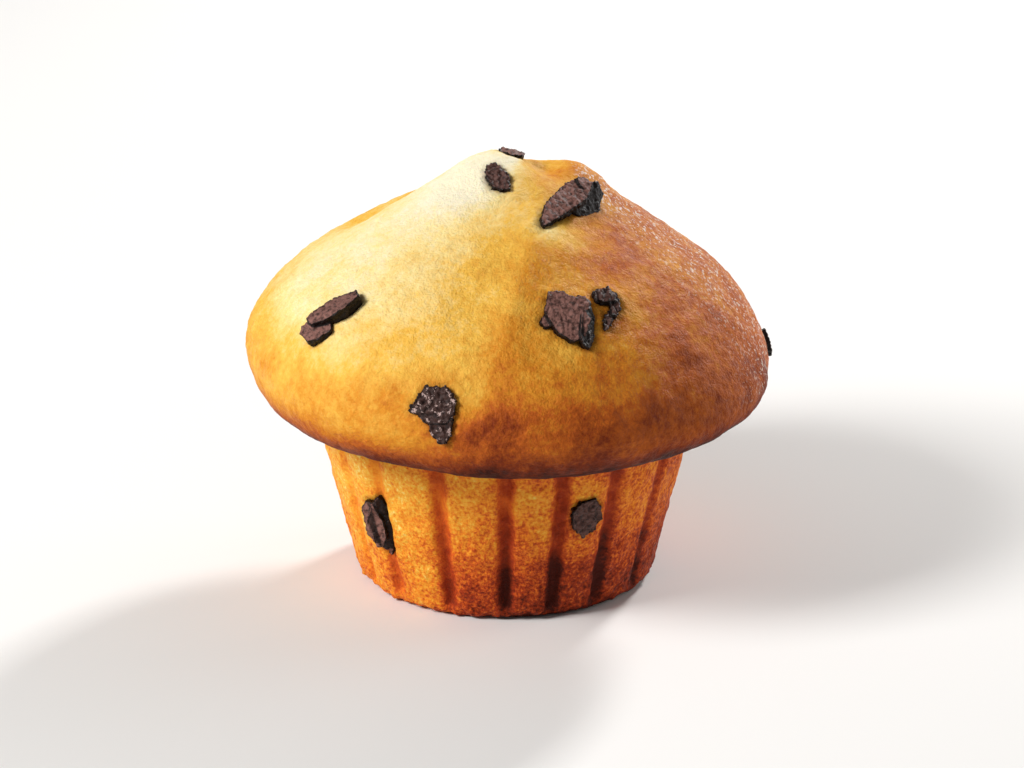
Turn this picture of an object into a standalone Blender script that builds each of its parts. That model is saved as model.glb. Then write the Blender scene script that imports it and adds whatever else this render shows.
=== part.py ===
"""A chocolate chunk muffin, baked in a fluted paper case and lifted out of it.

The cake is one solid: a tapered stump with the pleats of its case pressed into
the wall, and a peaked cap that has run out over the shoulder and set in a
thick rounded rim. Every chunk of chocolate that reaches the surface is a solid
of its own and sits in a pocket of the cake.

The frame is in metres with +Z up. The origin is the middle of the flat base,
and the muffin faces -Y. Shapes are worked out in millimetres and turned into
metres when a mesh is made. A bearing is an angle seen from above, in degrees:
0 is the front, 90 the right-hand side (+X) and 180 the back.
"""

import math
from collections import namedtuple

import bmesh
import bpy
from mathutils import Matrix, Vector, noise

MM = 0.001

# Stump: the part that stood in the paper case
BASE_RADIUS = 25.0          # where the wall's line meets the floor
BASE_CORNER = 2.8           # rounding between floor and wall
SHOULDER_RADIUS = 32.6      # wall radius just under the cap
STUMP_HEIGHT = 31.3         # floor to the underside of the cap
SHOULDER_FILLET = 1.2       # hollow between wall and underside
PLEAT_COUNT = 18            # folds of the case around the stump
PLEAT_SHARES = (0.0, 0.11, 0.24, 0.37, 0.5, 0.63, 0.76, 0.89)   # points from groove to groove
GROOVE_WIDTH = 3.2
GROOVE_DEPTH = 1.15
RIB_SWELL = 0.35            # how far a rib bows out between its grooves
GROOVE_SIDE_FADE = 0.65     # share of the depth that is lost at the two sides
GROOVE_FOOT = (0.4, 3.4)    # heights between which the pleats fade in above the floor
GROOVE_HEAD = (29.3, 35.3)  # and between which they would fade out, inside the cap
WALL_HEIGHTS = (BASE_CORNER, 6.0, 11.0, 17.0, 23.0, 28.8, STUMP_HEIGHT - SHOULDER_FILLET)
CORNER_TURNS = (0.0, 30.0, 60.0)

# Cap: everything above the shoulder
CAP_RADIUS = 44.5           # widest, at the middle of the rim
RIM_WIDTH = 6.5             # rim's rounding, measured outward
RIM_DROP = 7.2              # rim's rounding, measured down from the widest line
RIM_HEIGHT = STUMP_HEIGHT + RIM_DROP
DOME_RISE = 33.4            # widest line to the top of the smooth dome
DOME_PEAK = 1.2             # power of the distance from the peak: 2 is round, 1 is a cone
DOME_FULLNESS = 0.6         # power of the rise: 0.5 swells out at the rim
PEAK_SHIFT = 2.5            # the peak stands to the right of the base's middle
CAP_TILT = 0.05             # how much the rim's widest line drops toward the right, per mm
UNDERSIDE_TILT = 0.35       # share of that tilt which the underside has
DOME_EDGE = 0.12            # share of the radius over which the hills fade at the rim
CAP_POINTS = PLEAT_COUNT * len(PLEAT_SHARES) // 2   # points around the cap: half the wall's
RIM_TURNS = (0.0, 18.0, 36.0, 54.0, 72.0, 90.0)
DOME_RINGS = 15
THINNING = ((0.42, 1), (0.2, 2), (0.0, 4))  # outside this share of the radius, a ring uses every nth point

# Unevenness left by the rise in the oven
CAP_LUMPS = 0.8
WALL_LUMPS = 0.25
WALL_CALM = 4.0             # height over which the wall's unevenness starts, above the corner
LUMP_SPACING = 19.0
QUICK_SPACING = 7.6         # a second, finer unevenness
QUICK_SHARE = 0.35

# Lumps and dips of the dome, as smooth hills: middle x, y, height, spread
HILLS = (
    (-4.0, 2.0, 2.6, 5.2),       # knob at the very top
    (12.5, 5.0, 3.4, 4.4),       # shoulder to the right of the knob
    (6.0, 2.5, -2.2, 2.8),       # notch between the knob and the shoulder
    (7.0, -17.5, 1.0, 3.5),      # pale boss in front of the top
    (-22.5, 11.0, -2.8, 4.8),    # dip on the left slope
    (31.0, 16.0, 0.9, 9.0),      # long swell on the right slope
    (-26.0, -24.0, 1.2, 9.0),    # bulge low on the left
    (-10.0, 30.0, 1.3, 8.0),     # two swells behind
    (18.0, 26.0, 1.0, 7.0),
)

# The soft ridge that runs down the front from the pale boss to the rim
RIDGE_TOP = (6.5, -15.0)
RIDGE_FOOT = (-2.0, -42.5)
RIDGE_HEIGHT = 0.9
RIDGE_SPREAD = 3.0

# Chocolate
POCKET_GAP = 0.35           # clear space between a chunk and its pocket
BLOCK_CORNERS = 8           # corners of a block's outline

# A chunk on the dome gives its distance from the peak as a share of the cap's
# radius, and one on the wall gives its height. There its blocks meet, which
# broke off a bar of chocolate together.
Chunk = namedtuple("Chunk", "name on bearing at blocks")

# A block lies to the right of its chunk's place and uphill from it. `top` is
# how far it shows above the cake. `heading` turns its length from rightward
# to uphill. `rise` slopes its top up along its length and `tip` across it, in
# degrees. `taper` narrows its far end.
Block = namedtuple("Block", "right uphill length width top heading rise tip taper")

BLOCK_DEPTH = 2.6           # how deep a block goes into the cake
BLOCK_FOOT = 0.78           # size of its foot, as a share of its outline
BLOCK_REACH = 1.08          # its corners lie a little outside its length and width

CHUNKS = (
    Chunk("crown_rear", "dome", -140.0, 0.073, (
        Block(-0.8, 0.2, 4.4, 4.2, 0.4, 10.0, -10.0, 0.0, 0.0),)),
    Chunk("crown_left", "dome", -33.0, 0.14, (
        Block(0.3, -0.6, 6.6, 4.0, 0.8, -35.0, 0.0, 0.0, 0.1),)),
    Chunk("crown_right", "dome", 51.0, 0.265, (
        Block(-3.3, -0.3, 14.0, 4.3, 1.9, 15.0, 11.0, 0.0, -0.25),
        Block(2.0, -1.2, 8.2, 4.2, 1.4, 8.0, 5.0, 38.0, 0.0),
        Block(2.6, 1.0, 3.4, 3.0, 3.0, 40.0, 0.0, 10.0, 0.0))),
    Chunk("cap_left", "dome", -48.0, 0.845, (
        Block(-0.3, 1.2, 9.8, 5.0, 1.5, 55.0, 0.0, -14.0, 0.0),
        Block(-1.1, -3.3, 5.4, 4.6, 0.9, 30.0, -6.0, 0.0, 0.0))),
    Chunk("cap_right", "dome", 16.5, 0.725, (
        Block(-0.4, 0.4, 9.4, 6.6, 1.2, 105.0, 0.0, 0.0, 0.0),
        Block(2.1, 2.5, 3.6, 3.0, 1.1, -15.0, 0.0, 0.0, 0.0),
        Block(-3.6, 0.0, 2.8, 2.2, 0.7, 40.0, 0.0, 0.0, 0.0),
        Block(2.6, -1.7, 8.0, 2.8, 0.9, 78.0, 0.0, 30.0, 0.0))),
    Chunk("cap_right_arc", "dome", 29.5, 0.685, (
        Block(0.1, 1.3, 4.6, 3.2, 1.1, 0.0, 0.0, 0.0, 0.0),
        Block(1.1, -0.6, 4.8, 1.9, 0.8, 65.0, 0.0, 0.0, 0.0),
        Block(-1.0, -3.1, 4.0, 1.4, 0.5, 52.0, 0.0, 0.0, 0.0))),
    Chunk("cap_front", "dome", -15.0, 0.97, (
        Block(0.1, 0.8, 7.0, 6.0, 0.8, 0.0, 0.0, 0.0, 0.0),
        Block(-2.9, 0.1, 2.6, 2.0, 0.6, 40.0, 0.0, 0.0, 0.0),
        Block(1.4, -2.4, 6.2, 4.0, 0.6, -78.0, -5.0, 0.0, 0.25))),
    Chunk("rim_right", "dome", 102.0, 0.999, (
        Block(0.0, 0.0, 4.8, 4.2, 1.0, 90.0, 0.0, 0.0, 0.0),)),
    Chunk("wall_left", "wall", -47.0, 15.2, (
        Block(-0.2, 0.2, 9.6, 4.2, 1.1, 93.0, 0.0, -14.0, 0.0),
        Block(1.3, 0.5, 9.6, 4.0, 0.9, 93.0, 0.0, 26.0, 0.0),
        Block(1.6, -3.9, 3.8, 1.4, 0.4, -86.0, 0.0, 0.0, 0.2))),
    Chunk("wall_right", "wall", 26.0, 19.5, (
        Block(-0.2, 0.1, 7.4, 5.6, 0.7, 95.0, 0.0, 0.0, 0.0),)),
    Chunk("back_high", "dome", 188.0, 0.40, (
        Block(0.0, 0.0, 8.6, 5.0, 1.4, 30.0, 6.0, 0.0, 0.1),
        Block(2.0, -1.8, 4.6, 4.0, 0.9, 80.0, 0.0, 10.0, 0.0))),
    Chunk("back_left", "dome", 211.0, 0.86, (
        Block(0.0, 0.0, 7.8, 6.4, 1.0, 115.0, 0.0, 0.0, 0.1),)),
    Chunk("back_middle", "dome", 168.0, 0.74, (
        Block(-1.0, 0.0, 10.4, 5.0, 1.2, 20.0, 4.0, 0.0, 0.0),
        Block(3.0, -1.6, 5.2, 3.6, 0.8, -50.0, 0.0, 8.0, 0.1))),
    Chunk("back_right", "dome", 142.0, 0.86, (
        Block(0.0, 0.0, 7.2, 5.0, 0.9, 70.0, 0.0, -6.0, 0.0),)),
    Chunk("back_low", "dome", 186.0, 0.96, (
        Block(0.0, 0.0, 8.0, 5.2, 0.8, 140.0, 0.0, 5.0, 0.1),
        Block(-2.4, -1.6, 4.0, 3.0, 0.5, 60.0, 0.0, 0.0, 0.0))),
    Chunk("wall_back", "wall", 176.0, 16.0, (
        Block(0.0, 0.0, 7.6, 5.0, 0.6, 70.0, 0.0, 0.0, 0.1),)),
    Chunk("wall_back_left", "wall", 236.0, 22.0, (
        Block(0.0, 0.0, 6.0, 4.6, 0.5, 105.0, 0.0, 0.0, 0.0),)),
)


def from_bearing(bearing, radius, height):
    """The point at a bearing, a radius from the axis and a height."""
    angle = math.radians(bearing)
    return Vector((radius * math.sin(angle), -radius * math.cos(angle), height))


def groove_bearings():
    """Where the pleats' grooves run: evenly spaced, then shifted a little by hand and by chance."""
    step = 360.0 / PLEAT_COUNT
    front_shifts = {1: -2.5, 2: -4.5, 3: -3.5, PLEAT_COUNT - 1: -1.0, PLEAT_COUNT - 2: -3.5}
    bearings = []
    for pleat in range(PLEAT_COUNT):
        chance = 0.0 if pleat == 0 else 1.6 * math.sin(pleat * 2.3)
        bearings.append(pleat * step + front_shifts.get(pleat, chance))
    return bearings


GROOVES = groove_bearings()


def wall_bearings():
    """Bearings of the wall's points, closer together beside each groove."""
    bearings = []
    for start, end in zip(GROOVES, GROOVES[1:] + [GROOVES[0] + 360.0]):
        bearings += [start + share * (end - start) for share in PLEAT_SHARES]
    return bearings


def step_between(value, start, end):
    """A soft step: 0 up to the start, 1 from the end on."""
    share = max(0.0, min(1.0, (value - start) / (end - start)))
    return share * share * (3.0 - 2.0 * share)


def pleat_relief(bearing, height):
    """How far the pleats move the wall out (ribs) or in (grooves)."""
    to_mm = math.radians(BASE_RADIUS)
    nearest = min(abs((bearing - groove + 180.0) % 360.0 - 180.0) for groove in GROOVES)
    beside = min(1.0, nearest * to_mm / (0.5 * GROOVE_WIDTH))
    groove = math.cos(0.5 * math.pi * beside) ** 2
    rib = math.sin(0.5 * math.pi * min(1.0, nearest * PLEAT_COUNT / 180.0))
    across = math.sin(math.radians(bearing)) ** 2
    strength = 1.0 - GROOVE_SIDE_FADE * across
    ends = step_between(height, *GROOVE_FOOT) * (1.0 - step_between(height, *GROOVE_HEAD))
    return strength * ends * (RIB_SWELL * rib - GROOVE_DEPTH * groove)


def wall_point(bearing, height):
    """A point of the stump's wall."""
    share = height / STUMP_HEIGHT
    radius = BASE_RADIUS + share * (SHOULDER_RADIUS - BASE_RADIUS)
    radius += pleat_relief(bearing, height)
    return from_bearing(bearing, radius, height)


def cap_scale(bearing):
    """The cap isn't quite round: its reach at a bearing, as a share of CAP_RADIUS."""
    angle = math.radians(bearing)
    lobes = 0.008 * math.cos(2.0 * angle - 0.6) + 0.006 * math.cos(3.0 * angle + 0.9)
    return 1.0 + lobes + 0.006 * math.sin(angle)


def hills(x, y):
    """Height of the dome's lumps, dips and front ridge at a place."""
    rise = 0.0
    for middle_x, middle_y, height, spread in HILLS:
        away = (x - middle_x) ** 2 + (y - middle_y) ** 2
        rise += height * math.exp(-away / (2.0 * spread ** 2))
    top = Vector(RIDGE_TOP)
    run = Vector(RIDGE_FOOT) - top
    along = (Vector((x, y)) - top).dot(run) / run.length_squared
    aside = (Vector((x, y)) - top - run * along).length
    ends = step_between(along, 0.0, 0.3) * (1.0 - step_between(along, 0.7, 1.0))
    return rise + RIDGE_HEIGHT * ends * math.exp(-(aside / RIDGE_SPREAD) ** 2)


def tilted(point):
    """Drop a point of the cap toward the right. The underside drops less, so the rim is thinner there."""
    above = step_between(point.z, STUMP_HEIGHT, RIM_HEIGHT)
    share = UNDERSIDE_TILT + (1.0 - UNDERSIDE_TILT) * above
    return Vector((point.x, point.y, point.z - share * CAP_TILT * point.x))


def dome_point(bearing, share):
    """A point of the dome, at a share of the cap's radius away from the peak."""
    point = from_bearing(bearing, share * CAP_RADIUS * cap_scale(bearing), RIM_HEIGHT)
    point.x += PEAK_SHIFT * (1.0 - share)
    point.z += DOME_RISE * (1.0 - share ** DOME_PEAK) ** DOME_FULLNESS
    point.z += hills(point.x, point.y) * (1.0 - step_between(share, 1.0 - DOME_EDGE, 1.0))
    return tilted(point)


def rim_point(bearing, turn):
    """A point of the rim's lower half: turn 0 is its underside, 90 its widest line."""
    radius = CAP_RADIUS - RIM_WIDTH + RIM_WIDTH * math.sin(math.radians(turn))
    height = RIM_HEIGHT - RIM_DROP * math.cos(math.radians(turn))
    return tilted(from_bearing(bearing, radius * cap_scale(bearing), height))


def uneven(point, amount):
    """Move a point in or out by the slow unevenness of a baked crust."""
    outward = Vector((point.x, point.y, 0.6 * (point.z - RIM_HEIGHT))).normalized()
    slow = noise.noise(point / LUMP_SPACING)
    quick = noise.noise(point / QUICK_SPACING + Vector((7.0, 3.0, 5.0)))
    return point + outward * amount * (slow + QUICK_SHARE * quick)


def corner_ring(turn):
    """A ring of the rounded corner between floor and wall: turn 0 lies on the floor."""
    slope = (SHOULDER_RADIUS - BASE_RADIUS) / STUMP_HEIGHT
    radius = BASE_RADIUS + BASE_CORNER * (slope - 1.0 + math.sin(math.radians(turn)))
    height = BASE_CORNER * (1.0 - math.cos(math.radians(turn)))
    return [from_bearing(b, radius + pleat_relief(b, height), height) for b in wall_bearings()]


def wall_ring(height):
    """A ring of the stump's wall."""
    amount = WALL_LUMPS * step_between(height, BASE_CORNER, BASE_CORNER + WALL_CALM)
    return [uneven(wall_point(b, height), amount) for b in wall_bearings()]


def cake_rings():
    """The cake's rings of points, from the floor up to the last small ring round the peak."""
    rings = [corner_ring(turn) for turn in CORNER_TURNS]
    rings += [wall_ring(height) for height in WALL_HEIGHTS]

    cap = [360.0 * step / CAP_POINTS for step in range(CAP_POINTS)]
    inner_edge = SHOULDER_RADIUS + SHOULDER_FILLET
    rings.append([tilted(from_bearing(b, inner_edge, STUMP_HEIGHT)) for b in cap])
    for turn in RIM_TURNS:
        amount = CAP_LUMPS * math.sin(math.radians(turn))
        rings.append([uneven(rim_point(b, turn), amount) for b in cap])
    for step in range(1, DOME_RINGS):
        share = math.cos(0.5 * math.pi * step / DOME_RINGS)
        every = next(nth for outside, nth in THINNING if share > outside)
        rings.append([uneven(dome_point(b, share), CAP_LUMPS) for b in cap[::every]])
    return rings


def bridge(mesh, lower, upper):
    """Join two rings, of which the upper has as many points as the lower or half as many."""
    ratio = len(lower) // len(upper)
    for step, vertex in enumerate(upper):
        after = upper[(step + 1) % len(upper)]
        low = [lower[(step * ratio + k) % len(lower)] for k in range(ratio + 1)]
        mesh.faces.new((low[0], low[1], vertex))
        mesh.faces.new((low[1], after, vertex))
        if ratio == 2:
            mesh.faces.new((low[1], low[2], after))


def simple_material(name, colour, roughness):
    """A plain Principled material."""
    material = bpy.data.materials.new(name)
    material.use_nodes = True
    shader = material.node_tree.nodes["Principled BSDF"]
    shader.inputs["Base Color"].default_value = (*colour, 1.0)
    shader.inputs["Roughness"].default_value = roughness
    shader.inputs["Metallic"].default_value = 0.0
    return material


def add_object(name, mesh, material, collection):
    """Turn a bmesh in millimetres into an object in metres."""
    bmesh.ops.recalc_face_normals(mesh, faces=mesh.faces)
    bmesh.ops.scale(mesh, vec=(MM, MM, MM), verts=mesh.verts)
    data = bpy.data.meshes.new(name)
    mesh.to_mesh(data)
    mesh.free()
    data.materials.append(material)
    data.shade_smooth()
    data.set_sharp_from_angle(angle=math.radians(35.0))
    made = bpy.data.objects.new(name, data)
    collection.objects.link(made)
    return made


def make_cake(material, collection):
    """The cake without its pockets: floor, wall, underside, rim and dome."""
    mesh = bmesh.new()
    rings = [[mesh.verts.new(point) for point in ring] for ring in cake_rings()]
    mesh.faces.new(reversed(rings[0]))
    for lower, upper in zip(rings, rings[1:]):
        bridge(mesh, lower, upper)
    peak = mesh.verts.new(uneven(dome_point(0.0, 0.0), CAP_LUMPS))
    last = rings[-1]
    for step, vertex in enumerate(last):
        mesh.faces.new((vertex, last[(step + 1) % len(last)], peak))
    return add_object("cake", mesh, material, collection)


def surface_point(chunk, bearing, at):
    """A point of the surface that a chunk sits in."""
    if chunk.on == "dome":
        return uneven(dome_point(bearing, at), CAP_LUMPS)
    return uneven(wall_point(bearing, at), WALL_LUMPS)


def seat(chunk):
    """The matrix of a place on the cake: X runs to the right, Y uphill and Z out of the cake."""
    nearby = 0.01 if chunk.on == "dome" else 0.5
    place = surface_point(chunk, chunk.bearing, chunk.at)
    uphill = surface_point(chunk, chunk.bearing, chunk.at - nearby) - place
    if chunk.on == "wall":
        uphill = -uphill
    sideways = surface_point(chunk, chunk.bearing + 1.0, chunk.at) - place
    out = sideways.cross(uphill).normalized()
    uphill.normalize()
    axes = Matrix((uphill.cross(out), uphill, out)).transposed().to_4x4()
    return Matrix.Translation(place) @ axes


def block_points(block, seed):
    """Corners of a block of chocolate, in its chunk's seat: an uneven top and a smaller foot."""
    heading = math.radians(block.heading)
    along = Vector((math.cos(heading), math.sin(heading), 0.0))
    across = Vector((-math.sin(heading), math.cos(heading), 0.0))
    middle = Vector((block.right, block.uphill, 0.0))
    points = []
    for corner in range(BLOCK_CORNERS):
        sample = Vector((seed * 5.3, corner * 1.7, 1.5))
        turn = 2.0 * math.pi * (corner + 0.5 + 0.45 * noise.noise(sample)) / BLOCK_CORNERS
        reach = BLOCK_REACH * (1.0 + 0.2 * noise.noise(sample + Vector((0.0, 0.0, 9.0))))
        far = 0.5 * block.length * reach * math.cos(turn)
        aside = 0.5 * block.width * reach * math.sin(turn) * (1.0 - block.taper * math.cos(turn))
        height = block.top + 0.25 * noise.noise(sample + Vector((4.0, 0.0, 0.0)))
        height += far * math.tan(math.radians(block.rise)) + aside * math.tan(math.radians(block.tip))
        flat = far * along + aside * across
        points.append(middle + flat + Vector((0.0, 0.0, height)))
        points.append(middle + BLOCK_FOOT * flat - Vector((0.0, 0.0, BLOCK_DEPTH)))
    return points


def hull(points):
    """A closed convex mesh round some points."""
    mesh = bmesh.new()
    for point in points:
        mesh.verts.new(point)
    result = bmesh.ops.convex_hull(mesh, input=mesh.verts)
    inside = {item for item in result["geom_interior"] if isinstance(item, bmesh.types.BMVert)}
    bmesh.ops.delete(mesh, geom=list(inside), context="VERTS")
    bmesh.ops.recalc_face_normals(mesh, faces=mesh.faces)
    return mesh


def grown(mesh, gap):
    """The corners of a convex mesh, moved out until every face has gone out by the gap."""
    mesh.normal_update()
    corners = []
    for vertex in mesh.verts:
        flattest = min(vertex.normal.dot(face.normal) for face in vertex.link_faces)
        corners.append(vertex.co + vertex.normal * gap / max(flattest, 0.4))
    return corners


def make_chunk(number, chunk, material, collection, cutter_material, pockets):
    """One chunk of chocolate, the hull of its blocks, and the cutter for its pocket."""
    place = seat(chunk)
    points = []
    for step, block in enumerate(chunk.blocks):
        points += block_points(block, 4 * number + step)
    solid = hull([place @ point for point in points])
    cutter = add_object("pocket_" + chunk.name, hull(grown(solid, POCKET_GAP)), cutter_material, pockets)
    cutter.hide_render = True
    cutter.display_type = "WIRE"
    add_object("chunk_" + chunk.name, solid, material, collection)


def main():
    for old in list(bpy.data.objects):
        bpy.data.objects.remove(old, do_unlink=True)
    scene = bpy.context.scene.collection
    pockets = bpy.data.collections.new("pockets")
    scene.children.link(pockets)

    crust = simple_material("crust", (0.62, 0.33, 0.09), 0.55)
    chocolate = simple_material("chocolate", (0.035, 0.012, 0.007), 0.35)

    cake = make_cake(crust, scene)
    for number, chunk in enumerate(CHUNKS):
        make_chunk(number, chunk, chocolate, scene, crust, pockets)

    cut = cake.modifiers.new("pockets", "BOOLEAN")
    cut.operation = "DIFFERENCE"
    cut.solver = "EXACT"
    cut.operand_type = "COLLECTION"
    cut.collection = pockets


main()
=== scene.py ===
"""The looks of a chocolate chunk muffin: browned crust, fluted crumb and broken chocolate.

The cake's surface follows the same rules as its CAD solid, at a much finer
pitch, with the grain, folds and pockets that a baked surface has. Each chunk
of chocolate starts from its own CAD solid, which is remeshed and given broken
faces. Shapes are worked out in millimetres in the frame of the CAD model: +Z
is up, the front faces -Y, and a bearing is 0 at the front and 90 at +X.
"""

import math
from collections import namedtuple

import bmesh
import bpy
import numpy as np
from mathutils import Matrix, Vector, noise


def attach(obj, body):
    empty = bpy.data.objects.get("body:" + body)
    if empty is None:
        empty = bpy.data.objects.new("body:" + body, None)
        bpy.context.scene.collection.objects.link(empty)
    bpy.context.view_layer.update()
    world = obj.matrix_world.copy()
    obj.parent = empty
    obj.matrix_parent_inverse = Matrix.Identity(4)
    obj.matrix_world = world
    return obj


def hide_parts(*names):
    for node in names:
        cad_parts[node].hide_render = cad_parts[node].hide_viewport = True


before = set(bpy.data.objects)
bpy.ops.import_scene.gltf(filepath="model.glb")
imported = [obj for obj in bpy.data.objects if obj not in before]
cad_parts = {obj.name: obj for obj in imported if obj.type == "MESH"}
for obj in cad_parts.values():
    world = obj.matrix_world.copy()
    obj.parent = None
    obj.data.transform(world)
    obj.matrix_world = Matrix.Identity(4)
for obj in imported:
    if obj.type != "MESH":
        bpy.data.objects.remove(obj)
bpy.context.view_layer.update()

MM = 0.001

# ---------------------------------------------------------------------------
# The cake's form, as in the CAD model
# ---------------------------------------------------------------------------

BASE_RADIUS = 25.0
BASE_CORNER = 2.8
SHOULDER_RADIUS = 32.6
STUMP_HEIGHT = 31.3
SHOULDER_FILLET = 1.2
PLEAT_COUNT = 18
GROOVE_WIDTH = 3.2
GROOVE_DEPTH = 1.15
RIB_SWELL = 0.35
GROOVE_SIDE_FADE = 0.65
GROOVE_FOOT = (0.4, 3.4)
GROOVE_HEAD = (29.3, 35.3)
GROOVE_SHIFTS = {           # degrees by which the grooves in front miss an even spacing
    1: -2.5,
    2: -4.5,
    3: -3.5,
    PLEAT_COUNT - 2: -3.5,
    PLEAT_COUNT - 1: -1.0,
}
GROOVE_CHANCE = 1.6         # the most by which the others miss it
PLEAT_WAVER = 0.35          # how far a groove's line wanders

CAP_RADIUS = 44.5
RIM_WIDTH = 6.5
RIM_DROP = 7.2
RIM_HEIGHT = STUMP_HEIGHT + RIM_DROP
DOME_RISE = 33.4
DOME_PEAK = 1.2
DOME_FULLNESS = 0.6
PEAK_SHIFT = 2.5
CAP_TILT = 0.05
UNDERSIDE_TILT = 0.35
DOME_EDGE = 0.12

CAP_LUMPS = 0.8
WALL_LUMPS = 0.25
WALL_CALM = 4.0
LUMP_SPACING = 19.0
QUICK_SPACING = 7.6
QUICK_SHARE = 0.35

HILLS = (                   # x, y, height and spread of each lump or dip of the dome
    (-4.0, 2.0, 2.6, 5.2),
    (12.5, 5.0, 3.4, 4.4),
    (6.0, 2.5, -2.2, 2.8),
    (7.0, -17.5, 1.0, 3.5),
    (-22.5, 11.0, -2.8, 4.8),
    (31.0, 16.0, 0.9, 9.0),
    (-26.0, -24.0, 1.2, 9.0),
    (-10.0, 30.0, 1.3, 8.0),
    (18.0, 26.0, 1.0, 7.0),
)
RIDGE_TOP = Vector((6.5, -15.0))
RIDGE_FOOT = Vector((-2.0, -42.5))
RIDGE_HEIGHT = 0.9
RIDGE_SPREAD = 3.0


def step_between(value, start, end):
    """A soft step: 0 up to the start, 1 from the end on."""
    share = max(0.0, min(1.0, (value - start) / (end - start)))
    return share * share * (3.0 - 2.0 * share)


def bump_at(value, middle, spread):
    """A soft hill of height 1."""
    return math.exp(-((value - middle) / spread) ** 2)


def turn_between(bearing, other):
    """The angle between two bearings, from -180 to 180."""
    return (bearing - other + 180.0) % 360.0 - 180.0


def from_bearing(bearing, radius, height):
    """The point at a bearing, a radius from the axis and a height."""
    angle = math.radians(bearing)
    return Vector((radius * math.sin(angle), -radius * math.cos(angle), height))


def groove_bearings():
    """Where the pleats' grooves run."""
    step = 360.0 / PLEAT_COUNT
    grooves = []
    for pleat in range(PLEAT_COUNT):
        chance = 0.0 if pleat == 0 else GROOVE_CHANCE * math.sin(pleat * 2.3)
        grooves.append(pleat * step + GROOVE_SHIFTS.get(pleat, chance))
    return grooves


GROOVES = groove_bearings()


def groove_distance(bearing):
    """Millimetres along the wall to the nearest groove."""
    nearest = min(abs(turn_between(bearing, groove)) for groove in GROOVES)
    return nearest * math.radians(BASE_RADIUS)


def pleat_strength(bearing, height):
    """How strongly the pleats are printed here."""
    across = math.sin(math.radians(bearing)) ** 2
    ends = step_between(height, *GROOVE_FOOT) * (1.0 - step_between(height, *GROOVE_HEAD))
    return (1.0 - GROOVE_SIDE_FADE * across) * ends


def pleat_relief(bearing, height, waver=0.0):
    """How far the pleats move the wall out (ribs) or in (grooves)."""
    distance = max(0.0, groove_distance(bearing) + waver)
    beside = min(1.0, distance / (0.5 * GROOVE_WIDTH))
    groove = math.cos(0.5 * math.pi * beside) ** 2
    pitch = math.radians(BASE_RADIUS) * 180.0 / PLEAT_COUNT
    rib = math.sin(0.5 * math.pi * min(1.0, distance / pitch))
    return pleat_strength(bearing, height) * (RIB_SWELL * rib - GROOVE_DEPTH * groove)


def wall_point(bearing, height, waver=0.0):
    """A point of the stump's wall."""
    share = height / STUMP_HEIGHT
    radius = BASE_RADIUS + share * (SHOULDER_RADIUS - BASE_RADIUS)
    return from_bearing(bearing, radius + pleat_relief(bearing, height, waver), height)


def cap_scale(bearing):
    """The cap's reach at a bearing, as a share of CAP_RADIUS."""
    angle = math.radians(bearing)
    lobes = 0.008 * math.cos(2.0 * angle - 0.6) + 0.006 * math.cos(3.0 * angle + 0.9)
    return 1.0 + lobes + 0.006 * math.sin(angle)


def hills(x, y):
    """Height of the dome's lumps, dips and front ridge at a place."""
    rise = 0.0
    for middle_x, middle_y, height, spread in HILLS:
        away = (x - middle_x) ** 2 + (y - middle_y) ** 2
        rise += height * math.exp(-away / (2.0 * spread ** 2))
    run = RIDGE_FOOT - RIDGE_TOP
    along = (Vector((x, y)) - RIDGE_TOP).dot(run) / run.length_squared
    aside = (Vector((x, y)) - RIDGE_TOP - run * along).length
    ends = step_between(along, 0.0, 0.3) * (1.0 - step_between(along, 0.7, 1.0))
    return rise + RIDGE_HEIGHT * ends * math.exp(-(aside / RIDGE_SPREAD) ** 2)


def tilted(point):
    """Drop a point of the cap toward the right."""
    above = step_between(point.z, STUMP_HEIGHT, RIM_HEIGHT)
    share = UNDERSIDE_TILT + (1.0 - UNDERSIDE_TILT) * above
    return Vector((point.x, point.y, point.z - share * CAP_TILT * point.x))


def dome_point(bearing, share):
    """A point of the dome, at a share of the cap's radius away from the peak."""
    point = from_bearing(bearing, share * CAP_RADIUS * cap_scale(bearing), RIM_HEIGHT)
    point.x += PEAK_SHIFT * (1.0 - share)
    point.z += DOME_RISE * (1.0 - share ** DOME_PEAK) ** DOME_FULLNESS
    point.z += hills(point.x, point.y) * (1.0 - step_between(share, 1.0 - DOME_EDGE, 1.0))
    return tilted(point)


def rim_point(bearing, turn):
    """A point of the rim's lower half: turn 0 is its underside, 90 its widest line."""
    radius = CAP_RADIUS - RIM_WIDTH + RIM_WIDTH * math.sin(math.radians(turn))
    height = RIM_HEIGHT - RIM_DROP * math.cos(math.radians(turn))
    return tilted(from_bearing(bearing, radius * cap_scale(bearing), height))


def uneven(point, amount):
    """Move a point in or out by the slow unevenness of a baked crust."""
    outward = Vector((point.x, point.y, 0.6 * (point.z - RIM_HEIGHT))).normalized()
    slow = noise.noise(point / LUMP_SPACING)
    quick = noise.noise(point / QUICK_SPACING + Vector((7.0, 3.0, 5.0)))
    return point + outward * amount * (slow + QUICK_SHARE * quick)


# ---------------------------------------------------------------------------
# The cake's fine mesh
# ---------------------------------------------------------------------------

AROUND = 480                # points around the cake where it is widest
CORNER_RINGS = 8
WALL_RINGS = 66
FILLET_RINGS = 4
UNDERSIDE_RINGS = 6
RIM_RINGS = 25
DOME_RINGS = 112
FLOOR_RINGS = ((6.0, 60), (12.0, 120), (18.0, 240))     # radius and points of the rings inside
DOME_THINNING = ((0.44, 1), (0.22, 2), (0.1, 4), (0.0, 8))   # outside a share, keep every nth


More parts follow.
